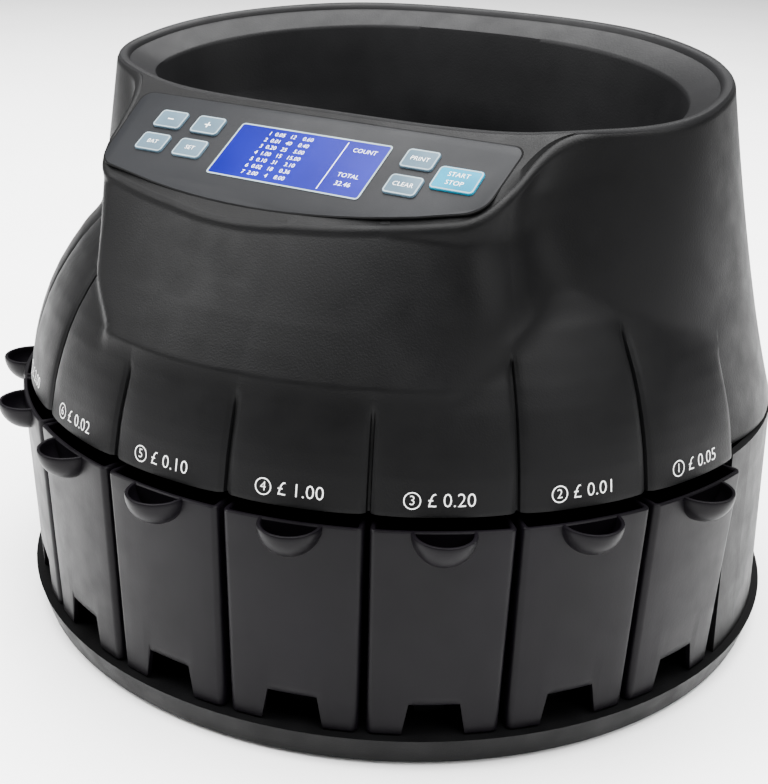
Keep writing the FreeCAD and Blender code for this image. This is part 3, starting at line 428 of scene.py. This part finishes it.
def between(value, low, high):
    return max(low, min(high, value))


def ease(value):
    share = between(value, 0.0, 1.0)
    return share * share * (3.0 - 2.0 * share)


def join_out(a, b, blend):
    """The larger of two, with a fillet where they meet."""
    lap = max(blend - abs(a - b), 0.0) / blend
    return max(a, b) + lap * lap * blend / 4.0


def join_in(a, b, blend):
    """The smaller of two, with a rounded edge where they meet."""
    lap = max(blend - abs(a - b), 0.0) / blend
    return min(a, b) - lap * lap * blend / 4.0


def rim_height(y):
    return join_in(0.2348 + 0.18 * (y + 0.075), 0.2609, 0.002)


def panel_height(y):
    return panel_z + (y - panel_y) * math.tan(panel_tilt)


def top_height(y):
    """The height of the housing's top: the keypad slope runs softly into the rim."""
    return join_in(panel_height(y), rim_height(y), 0.004)


@functools.lru_cache(maxsize=None)
def mouth_radius(angle, shrink):
    """Distance from the drum's axis to the rounded-D rim, brought in by shrink."""
    low, high = 0.02, 0.2
    for halving in range(26):
        radius = (low + high) / 2.0
        x = abs(radius * math.sin(angle) - rim_shift) / (rim_half - shrink)
        y = -radius * math.cos(angle) - rim_middle
        depth = (rim_front if y < 0.0 else rim_rear) - shrink
        power = 2.6 if y < 0.0 else 2.12
        if x ** power + (abs(y) / depth) ** power < 1.0:
            low = radius
        else:
            high = radius
    if math.cos(angle) > 0.2:
        return join_in(low, (-crease + 0.0010 - shrink) / math.cos(angle), 0.010)
    return low


def dome_radius(height):
    for (near, low), (far, high) in zip(dome_line, dome_line[1:]):
        if height <= high:
            return near + (far - near) * (height - low) / (high - low)
    return 0.03


def groove_depth(angle):
    """The channels between collar segments, flat at the bottom with crisp sides."""
    if abs(angle) > cup_pitch * (cup_count / 2.0 + 0.2):
        return 0.0
    off = (angle / cup_pitch + 0.5 + 20.0) % 1.0
    away = min(off, 1.0 - off) * cup_pitch * collar_radius
    return 0.0016 * (1.0 - ease((away - 0.0005) / 0.0004)) + 0.0008 * (1.0 - ease((away - 0.0006) / 0.0026))


def crown(angle):
    """Each segment bows out a little between its channels."""
    off = (angle / cup_pitch + 20.5) % 1.0
    return 0.0012 * (1.0 - (2.0 * off - 1.0) ** 4)


def body_reach(angle, height):
    rim_radius = mouth_radius(angle, 0.0)
    rim_top = rim_height(-rim_radius * math.cos(angle))
    share = (height - collar_foot) / (rim_top - collar_foot)
    foot = body_radius - 0.012 * ease((math.radians(100.0) - abs(angle)) / math.radians(40.0))
    reach = foot + (rim_radius - foot) * share
    if math.cos(angle) < -0.2:
        reach = join_in(reach, rear_flat / -math.cos(angle), 0.02)
    return reach


def block_reach(angle, height):
    """The keypad block: flat-fronted at the bezel, spreading to the collar's curve below."""
    if math.cos(angle) < 0.15:
        return 0.0
    fall = between((0.200 - height) / 0.048, 0.0, 1.0)
    front = block_front / math.cos(angle)
    for settle in range(6):
        off = (front * math.sin(angle) + 0.006) / 0.090
        front = (block_front - block_bow * min(off * off, 1.6)) / math.cos(angle)
    front += (0.1618 - front) * fall ** 0.95
    if angle > 0.0:
        side = block_right + 0.012 * ease((0.205 - height) / 0.035) - 0.006 * ease((0.165 - height) / 0.02)
        side += 0.25 * between(height - 0.215, 0.0, 0.03)
        corner = 0.022
    else:
        side = block_left - 0.028 * between((0.205 - height) / 0.052, 0.0, 1.0) ** 1.3
        side += 0.30 * between(height - 0.215, 0.0, 0.03) - 0.014 * ease((0.170 - height) / 0.018)
        corner = 0.034
    edge = side / max(abs(math.sin(angle)), 0.05)
    return join_in(front, edge, corner)


def housing_radius(angle, height):
    reach = join_out(body_reach(angle, height), block_reach(angle, height), block_fillet)
    collar_edge = cup_pitch * cup_count / 2.0
    if abs(angle) < collar_edge:
        dome = dome_radius(height) + crown(angle) - 0.0012
        clear = ease((dome - reach + 0.0005) / 0.0035)
        reach = join_out(reach, dome - groove_depth(angle) * clear, 0.004)
    return reach


def top_of_wall(angle):
    """Where the wall at this angle meets the housing's top."""
    low, high = 0.18, 0.27
    for halving in range(24):
        height = (low + high) / 2.0
        y = -housing_radius(angle, height) * math.cos(angle)
        if height < top_height(y):
            low = height
        else:
            high = height
    return low


def rounded_loop(corners, rounds, steps=8):
    """A closed outline with a round at each corner."""
    line = []
    count = len(corners)
    for i in range(count):
        here = Vector(corners[i])
        back = (Vector(corners[i - 1]) - here).normalized()
        on = (Vector(corners[(i + 1) % count]) - here).normalized()
        half = back.angle(on) / 2.0
        middle = here + (back + on).normalized() * rounds[i] / math.sin(half)
        start = here + back * rounds[i] / math.tan(half) - middle
        end = here + on * rounds[i] / math.tan(half) - middle
        first = math.atan2(start.y, start.x)
        swing = (math.atan2(end.y, end.x) - first + math.pi) % (2.0 * math.pi) - math.pi
        for step in range(steps + 1):
            turn = first + swing * step / steps
            line.append((middle.x + rounds[i] * math.cos(turn), middle.y + rounds[i] * math.sin(turn)))
    return line


def overlay_outline(grow):
    """The overlay's edge: a bowed front, generous front corners and tighter rear ones."""
    front = [(x / 1000.0, -0.0198 + 0.0118 * ((x + 6.0) / 80.0) ** 2) for x in range(-60, 71, 10)]
    corners = [(-0.0835 - grow, -0.0100 - grow)] + [(x, along - grow) for x, along in front]
    corners += [(0.0930 + grow, -0.0015 - grow), (0.0945 + grow, 0.0325 + grow),
                (-0.0890 - grow, 0.0325 + grow)]
    rounds = [0.010] + [0.002] * len(front) + [0.011, 0.005, 0.005]
    return rounded_loop(corners, rounds, 6)


def on_panel(x, along, proud=0.0):
    """A point of the keypad slope: across it, up it and standing proud of it."""
    y = panel_y + along * math.cos(panel_tilt) - proud * math.sin(panel_tilt)
    z = panel_z + along * math.sin(panel_tilt) + proud * math.cos(panel_tilt)
    return Vector((x, axis_y + y, z))


def housing_column(angle):
    """One line of the housing's skin, from inside its foot up the wall and over the top."""
    top = top_of_wall(angle)
    edge = 0.0034
    wall_top = top - edge
    foot = housing_radius(angle, collar_foot)
    sill = 0.1080 if abs(angle) < cup_pitch * cup_count / 2.0 else 0.1069
    line = [(foot - 0.0200, 0.1118), (foot - 0.0060, 0.1118), (foot - 0.0055, 0.1090)]
    line += [(foot - 0.0012, sill), (foot - 0.0003, sill + 0.0003)]
    for step in range(90):
        height = 0.1092 + (wall_top - 0.1092) * step / 89.0
        line.append((housing_radius(angle, height), height))
    reach = line[-1][0]
    for turn in (20.0, 40.0, 60.0, 75.0, 90.0):
        over = math.radians(turn)
        radius = reach - edge * (1.0 - math.cos(over))
        line.append((radius, wall_top + edge * math.sin(over)))
    start = line[-1][0]
    inner = mouth_radius(angle, 0.0016)
    for step in range(1, 15):
        radius = start + (inner - start) * step / 14.0
        line.append((radius, top_height(-radius * math.cos(angle)) - 0.0001))
    return [drum_point(radius, angle, height) for radius, height in line]


turns = set()
for step in range(360):
    turns.add(round(math.radians(step - 180.0), 5))
for line in range(cup_count + 1):
    middle = cup_pitch * (line - cup_count / 2.0)
    for off in (-0.95, -0.7, -0.5, -0.33, -0.24, -0.14, 0.0, 0.14, 0.24, 0.33, 0.5, 0.7, 0.95):
        turns.add(round(middle + math.radians(off), 5))
columns = [housing_column(angle) for angle in sorted(turns)]
housing_plastic = moulded("housing_plastic", (0.0016, 0.0016, 0.0017), (0.0025, 0.0025, 0.0027),
                          (0.42, 0.54), 1500.0, 0.00010)
housing = skin("housing_skin", columns + [columns[0]], housing_plastic, "chassis",
               round_shut=False, sharp=40.0)
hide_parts("upper_housing")
finish_nodes(housing_plastic, "rear_cover")

# ---- hopper bowl -------------------------------------------------------------------------
# The bowl drops into the rim: a rolled lip, a sloping band, then a step and a steep funnel
# down to the throat over the disc. It is the same black, a little smoother inside.

bowl_plastic = moulded("bowl_plastic", (0.0042, 0.0042, 0.0045), (0.0064, 0.0064, 0.0068),
                       (0.40, 0.52), 1200.0, 0.00006)
shoulder_height = 0.206
throat_height = 0.140
throat_radius = 0.0600
lip_profile = [(0.0000, -0.0060), (0.0001, -0.0022), (0.0005, -0.0008), (0.0012, -0.0001), (0.0024, 0.0),
               (0.0038, -0.0003), (0.0048, -0.0012), (0.0054, -0.0028), (0.0160, -0.0085), (0.0166, -0.0090),
               (0.0170, -0.0105)]
bowl_columns = []
for step in range(240):
    angle = math.radians(1.5 * step)
    line = []
    crest = top_height(-mouth_radius(angle, 0.0016) * math.cos(angle)) + 0.0001
    for inset, drop in lip_profile:
        radius = mouth_radius(angle, inset)
        line.append(drum_point(radius, angle, crest + drop))
    start = mouth_radius(angle, 0.0170)
    start_z = crest - 0.0105
    shoulder = mouth_radius(angle, 0.0230)
    for part in (0.33, 0.66, 1.0):
        radius = start + (shoulder - start) * part
        line.append(drum_point(radius, angle, start_z + (shoulder_height - start_z) * part))
    for part in (0.04, 0.1, 0.3, 0.5, 0.7, 0.9, 1.0):
        radius = shoulder + (0.0620 - shoulder) * part
        fall = (throat_height - shoulder_height) * part ** 1.1
        line.append(drum_point(radius, angle, shoulder_height + fall))
    line.append(drum_point(throat_radius, angle, 0.1345))
    line.append(drum_point(throat_radius, angle, 0.1250))
    bowl_columns.append(line)
bowl = skin("bowl_skin", bowl_columns + [bowl_columns[0]], bowl_plastic, "chassis",
            round_shut=False, sharp=35.0)
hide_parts("hopper_bowl")

# ---- keypad ------------------------------------------------------------------------------
# A printed polycarbonate overlay lies on the slope. Its pocket is not modelled: a thin black strip of
# painted shade round the overlay stands for the pocket's shadowed groove. Seven rubber-dome keys come
# through it, each with a pale edge line and a printed sign or word, beside a backlit display.

overlay_film = moulded("overlay_film", (0.0044, 0.0047, 0.0056), (0.0058, 0.0062, 0.0072),
                       (0.40, 0.50), 2200.0, 0.00003, 9.0)
key_rubber = moulded("key_rubber", (0.048, 0.080, 0.105), (0.064, 0.102, 0.132),
                     (0.38, 0.52), 1500.0, 0.00004, 60.0)
start_rubber = moulded("start_rubber", (0.0, 0.135, 0.220), (0.001, 0.180, 0.285),
                       (0.36, 0.5), 1500.0, 0.00004, 60.0)
edge_print = moulded("edge_print", (0.17, 0.215, 0.235), (0.21, 0.265, 0.285),
                     (0.4, 0.5), 2500.0, 0.00001, 80.0)
white_print = moulded("white_print", (0.74, 0.74, 0.73), (0.84, 0.84, 0.83),
                      (0.4, 0.55), 2500.0, 0.00001, 90.0)


def plate(name, outline, top, bottom, material, body, soft=0.0003):
    """A flat plate on the keypad slope with a softened upper edge."""
    middle_x = sum(x for x, along in outline) / len(outline)
    middle_along = sum(along for x, along in outline) / len(outline)
    rows = []
    for shrink, level in ((0.0, bottom), (0.0, top - soft), (soft * 0.3, top - soft * 0.3), (soft, top)):
        row = []
        for x, along in outline:
            out = Vector((x - middle_x, along - middle_along))
            out = out - out.normalized() * shrink
            row.append(on_panel(middle_x + out.x, middle_along + out.y, level))
        rows.append(row)
    return skin(name, rows, material, body, caps=(-1,))


overlay = plate("overlay_sheet", overlay_outline(0.0), 0.0002, -0.0008, overlay_film,
                "chassis")
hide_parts("panel_overlay")
# A thin black strip just outside the overlay's edge is painted shade. It stands for the shadowed groove
# round the overlay's pocket, which the housing skin leaves out.
painted_groove_shade = moulded("painted_groove_shade", (0.0004, 0.0004, 0.0005), (0.0009, 0.0009, 0.0010),
                 (0.7, 0.9), 3000.0, 0.00002)
plate("overlay_groove_shade", overlay_outline(0.0005), 0.00005, -0.0006, painted_groove_shade, "chassis", 0.0001)


def backlit_glass():
    """The display's blue backlight, a little brighter in the middle, with a faint dot grid."""
    material, tree, shader, place = new_material("backlit_glass")
    cloud = noise(tree, place, 22.0, 1.0)
    blue = tones(tree, cloud, [(0.3, (0.002, 0.002, 0.60)), (0.7, (0.010, 0.010, 0.85))])
    dots = tree.nodes.new("ShaderNodeTexWave")
    dots.inputs["Scale"].default_value = 900.0
    tree.links.new(place, dots.inputs["Vector"])
    glass = tones(tree, cloud, [(0.3, (0.0, 0.0, 0.02)), (0.7, (0.002, 0.002, 0.05))])
    tree.links.new(glass, shader.inputs["Base Color"])
    tree.links.new(blue, shader.inputs["Emission Color"])
    shader.inputs["Emission Strength"].default_value = 0.9
    shader.inputs["Specular IOR Level"].default_value = 0.06
    tree.links.new(spread(tree, dots.outputs["Fac"], 0.16, 0.24), shader.inputs["Roughness"])
    relief(tree, shader, dots.outputs["Fac"], 0.000005)
    return material


def lit_marks():
    """The display's pale lit characters."""
    material, tree, shader, place = new_material("lit_marks")
    glow = tones(tree, noise(tree, place, 240.0), [(0.3, (0.60, 0.62, 1.0)), (0.7, (0.75, 0.77, 1.0))])
    tree.links.new(glow, shader.inputs["Base Color"])
    tree.links.new(glow, shader.inputs["Emission Color"])
    shader.inputs["Emission Strength"].default_value = 0.65
    tree.links.new(spread(tree, noise(tree, place, 400.0), 0.3, 0.4), shader.inputs["Roughness"])
    return material


finish_nodes(backlit_glass(), "display_window")
marks_glow = lit_marks()
window_x = 0.0069
window_along = 0.0080
window_wide = 0.0710
window_tall = 0.0285


def printed(words, tall):
    """The faces of some lettering, centred on zero, with capitals about this tall."""
    line = bpy.data.curves.new("line", "FONT")
    line.body = words
    line.size = tall * 1.38
    line.offset = -0.016 * tall
    line.align_x = "CENTER"
    line.align_y = "CENTER"
    line.resolution_u = 3
    holder = bpy.data.objects.new("line", line)
    bpy.context.scene.collection.objects.link(holder)
    bpy.context.view_layer.update()
    seen = holder.evaluated_get(bpy.context.evaluated_depsgraph_get())
    mesh = bpy.data.meshes.new_from_object(seen)
    points = [(v.co.x, v.co.y) for v in mesh.vertices]
    faces = [tuple(f.vertices) for f in mesh.polygons]
    bpy.data.objects.remove(holder)
    bpy.data.meshes.remove(mesh)
    return points, faces


def ribbon(loop, width):
    """A closed line of this width that follows an outline, kept inside it."""
    count = len(loop)
    points = list(loop)
    for i in range(count):
        ahead = Vector(loop[(i + 1) % count]) - Vector(loop[i - 1])
        side = Vector((-ahead.y, ahead.x)).normalized() * width
        points.append((loop[i][0] + side.x, loop[i][1] + side.y))
    faces = [(i, (i + 1) % count, count + (i + 1) % count, count + i) for i in range(count)]
    return points, faces


def on_slope(name, drawn, x, along, proud, material, body):
    """Flat drawing laid on the keypad slope."""
    points, faces = drawn
    placed = [on_panel(x + p[0], along + p[1], proud) for p in points]
    return piece(name, placed, faces, material, body)


def rectangle(width, height, radius):
    half_w, half_h = width / 2.0, height / 2.0
    corners = [(-half_w, -half_h), (half_w, -half_h), (half_w, half_h), (-half_w, half_h)]
    return rounded_loop(corners, [radius] * 4, 5)


def bar(width, height):
    half_w, half_h = width / 2.0, height / 2.0
    return [(-half_w, -half_h), (half_w, -half_h), (half_w, half_h), (-half_w, half_h)], [(0, 1, 2, 3)]


def joined(*drawings):
    points, faces = [], []
    for more_points, more_faces in drawings:
        start = len(points)
        points += more_points
        faces += [tuple(start + i for i in face) for face in more_faces]
    return points, faces


def moved(drawing, x, y):
    points, faces = drawing
    return [(p[0] + x, p[1] + y) for p in points], faces


key_rise = 0.0011
keys = {
    "key_minus": (-0.0640, 0.0178, bar(0.0030, 0.0005)),
    "key_plus": (-0.0442, 0.0178, joined(bar(0.0030, 0.0005), bar(0.0005, 0.0030))),
    "key_batch": (-0.0640, 0.0039, printed("BAT", 0.0022)),
    "key_set": (-0.0442, 0.0039, printed("SET", 0.0022)),
    "key_print": (0.0572, 0.0178, printed("PRINT", 0.0022)),
    "key_clear": (0.0572, 0.0039, printed("CLEAR", 0.0022)),
    "key_start_stop": (0.0764, 0.0108, joined(moved(printed("START", 0.0023), 0.0, 0.0021),
                                              moved(printed("STOP", 0.0023), 0.0, -0.0021))),
}
for name, (x, along, sign) in keys.items():
    wide, tall = (0.0186, 0.0118) if name == "key_start_stop" else (0.0143, 0.0100)
    rubber = start_rubber if name == "key_start_stop" else key_rubber
    pad_outline = [(x + across, along + up) for across, up in rectangle(wide, tall, 0.0018)]
    cap = plate(f"{name}_cap", pad_outline, key_rise, -0.0030, rubber, name)
    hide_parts(name)
    on_slope(f"{name}_sign", sign, x, along, key_rise + 0.00006, white_print, name)
    edge = ribbon(rectangle(wide - 0.0005, tall - 0.0005, 0.0016), 0.00055)
    on_slope(f"{name}_edge", edge, x, along, key_rise + 0.00003, edge_print, name)

border = ribbon(rectangle(window_wide + 0.0012, window_tall + 0.0012, 0.0016), 0.0007)
on_slope("display_border", border, window_x, window_along, 0.00046, edge_print, "chassis")
readout = [moved(bar(0.0003, 0.0260), 0.0165, 0.0)]
counts = ["1  0.05   12    0.60", "2  0.01   40    0.40", "3  0.20   25    5.00",
          "4  1.00   15   15.00", "5  0.10   31    3.10", "6  0.02   18    0.36", "7  2.00    4    8.00"]
for line, words in enumerate(counts):
    readout.append(moved(printed(words, 0.0021), -0.0100, 0.0111 - 0.0037 * line))
readout.append(moved(printed("COUNT", 0.0022), 0.0258, 0.0095))
readout.append(moved(printed("TOTAL", 0.0022), 0.0258, -0.0040))
readout.append(moved(printed("32.46", 0.0024), 0.0258, -0.0085))
on_slope("display_readout", joined(*readout), window_x, window_along, 0.00048, marks_glow,
         "chassis")

# ---- collar labels -----------------------------------------------------------------------
# Each collar segment has its cup's number in a ring and the value it takes, pad printed in
# white just above the segment's lower edge.

values = {1: "0.05", 2: "0.01", 3: "0.20", 4: "1.00", 5: "0.10", 6: "0.02",
          7: "2.00", 8: "0.50", 9: "0.00"}
label_height = 0.1145
label_tall = 0.0052
label_ring = 0.0032
ring_offset = -0.0118
print_thickness = 0.00015
for number, value in values.items():
    turn = cup_pitch * (cup_count // 2 + 1 - number)
    circle = [(label_ring * math.cos(math.radians(15 * i)), label_ring * math.sin(math.radians(15 * i)))
              for i in range(24)]
    mark = joined(moved(ribbon(circle, 0.00040), ring_offset, 0.0),
                  moved(printed(str(number), 0.0036), ring_offset, 0.0),
                  moved(printed("\u00a3 " + value, label_tall), 0.0025, 0.0))
    wrapped = []
    for x, y in mark[0]:
        angle = turn + x / collar_radius
        height = label_height + y
        wrapped.append(drum_point(housing_radius(angle, height) + print_thickness, angle, height))
    piece(f"collar_label_{number}", wrapped, mark[1], white_print, "chassis")

# ---- rear fittings and electronics -------------------------------------------------------
# The mains inlet, rocker switch and data port sit in glossier moulded frames at the back; the
# supply and boards stand on posts inside.

socket_plastic = moulded("socket_plastic", (0.0016, 0.0016, 0.0017), (0.0026, 0.0026, 0.0028),
                         (0.3, 0.42), 900.0, 0.00003)
finish_nodes(socket_plastic, "power_inlet", "switch_housing", "switch_rocker")
finish_nodes(metal("port_shell", (0.15, 0.15, 0.155), (0.22, 0.22, 0.225), (0.2, 0.35)), "data_port")
finish_nodes(deck_plastic, "display_module", "bracket_spacers")

# ---- floor, lights and camera --------------------------------------------------------------
# The machine stands on a pale sweep under broad soft lamps, seen from the front right and above.

floor_material, floor_tree, floor_shader, floor_place = new_material("floor_paper")
paper = noise(floor_tree, floor_place, 6.0, 2.0)
paper_tone = tones(floor_tree, paper, [(0.3, (0.90, 0.90, 0.90)), (0.7, (0.93, 0.93, 0.93))])
floor_tree.links.new(paper_tone, floor_shader.inputs["Base Color"])
floor_shader.inputs["Roughness"].default_value = 0.8
floor_mesh = bpy.data.meshes.new("floor")
floor_mesh.from_pydata([(-12, -12, 0), (12, -12, 0), (12, 12, 0), (-12, 12, 0)], [], [(0, 1, 2, 3)])
floor_mesh.materials.append(floor_material)
floor = bpy.data.objects.new("floor", floor_mesh)
bpy.context.scene.collection.objects.link(floor)

world = bpy.data.worlds.new("studio")
bpy.context.scene.world = world
world.use_nodes = True
world.node_tree.nodes["Background"].inputs["Color"].default_value = (1.0, 1.0, 1.0, 1.0)
world.node_tree.nodes["Background"].inputs["Strength"].default_value = 0.45


def lamp(name, place, aim, size, power):
    """A square soft lamp turned towards a point."""
    light = bpy.data.lights.new(name, "AREA")
    light.shape = "RECTANGLE"
    light.size = size
    light.size_y = size
    light.energy = power
    holder = bpy.data.objects.new(name, light)
    bpy.context.scene.collection.objects.link(holder)
    holder.location = place
    holder.rotation_euler = (Vector(aim) - Vector(place)).to_track_quat("-Z", "Y").to_euler()


lamp("key_lamp", (-1.3, -0.9, 1.5), (0.0, 0.0, 0.12), 1.2, 70.0)
lamp("fill_lamp", (1.5, -0.4, 1.2), (0.0, 0.0, 0.12), 0.9, 24.0)
lamp("top_lamp", (0.0, 0.2, 2.2), (0.0, 0.0, 0.0), 2.6, 420.0)

eye = bpy.data.cameras.new("camera")
eye.lens = 60.02
eye.sensor_width = 36.0
eye.clip_start = 0.01
camera = bpy.data.objects.new("camera", eye)
bpy.context.scene.collection.objects.link(camera)
right = Vector((0.8438, 0.5358, 0.0307))
up = Vector((-0.2255, 0.3023, 0.9262))
ahead = Vector((-0.4871, 0.7884, -0.3759))
turned = Matrix((right, up, -ahead)).transposed().to_4x4()
camera.matrix_world = Matrix.Translation((0.3022, axis_y - 0.5067, 0.3252)) @ turned
bpy.context.scene.camera = camera
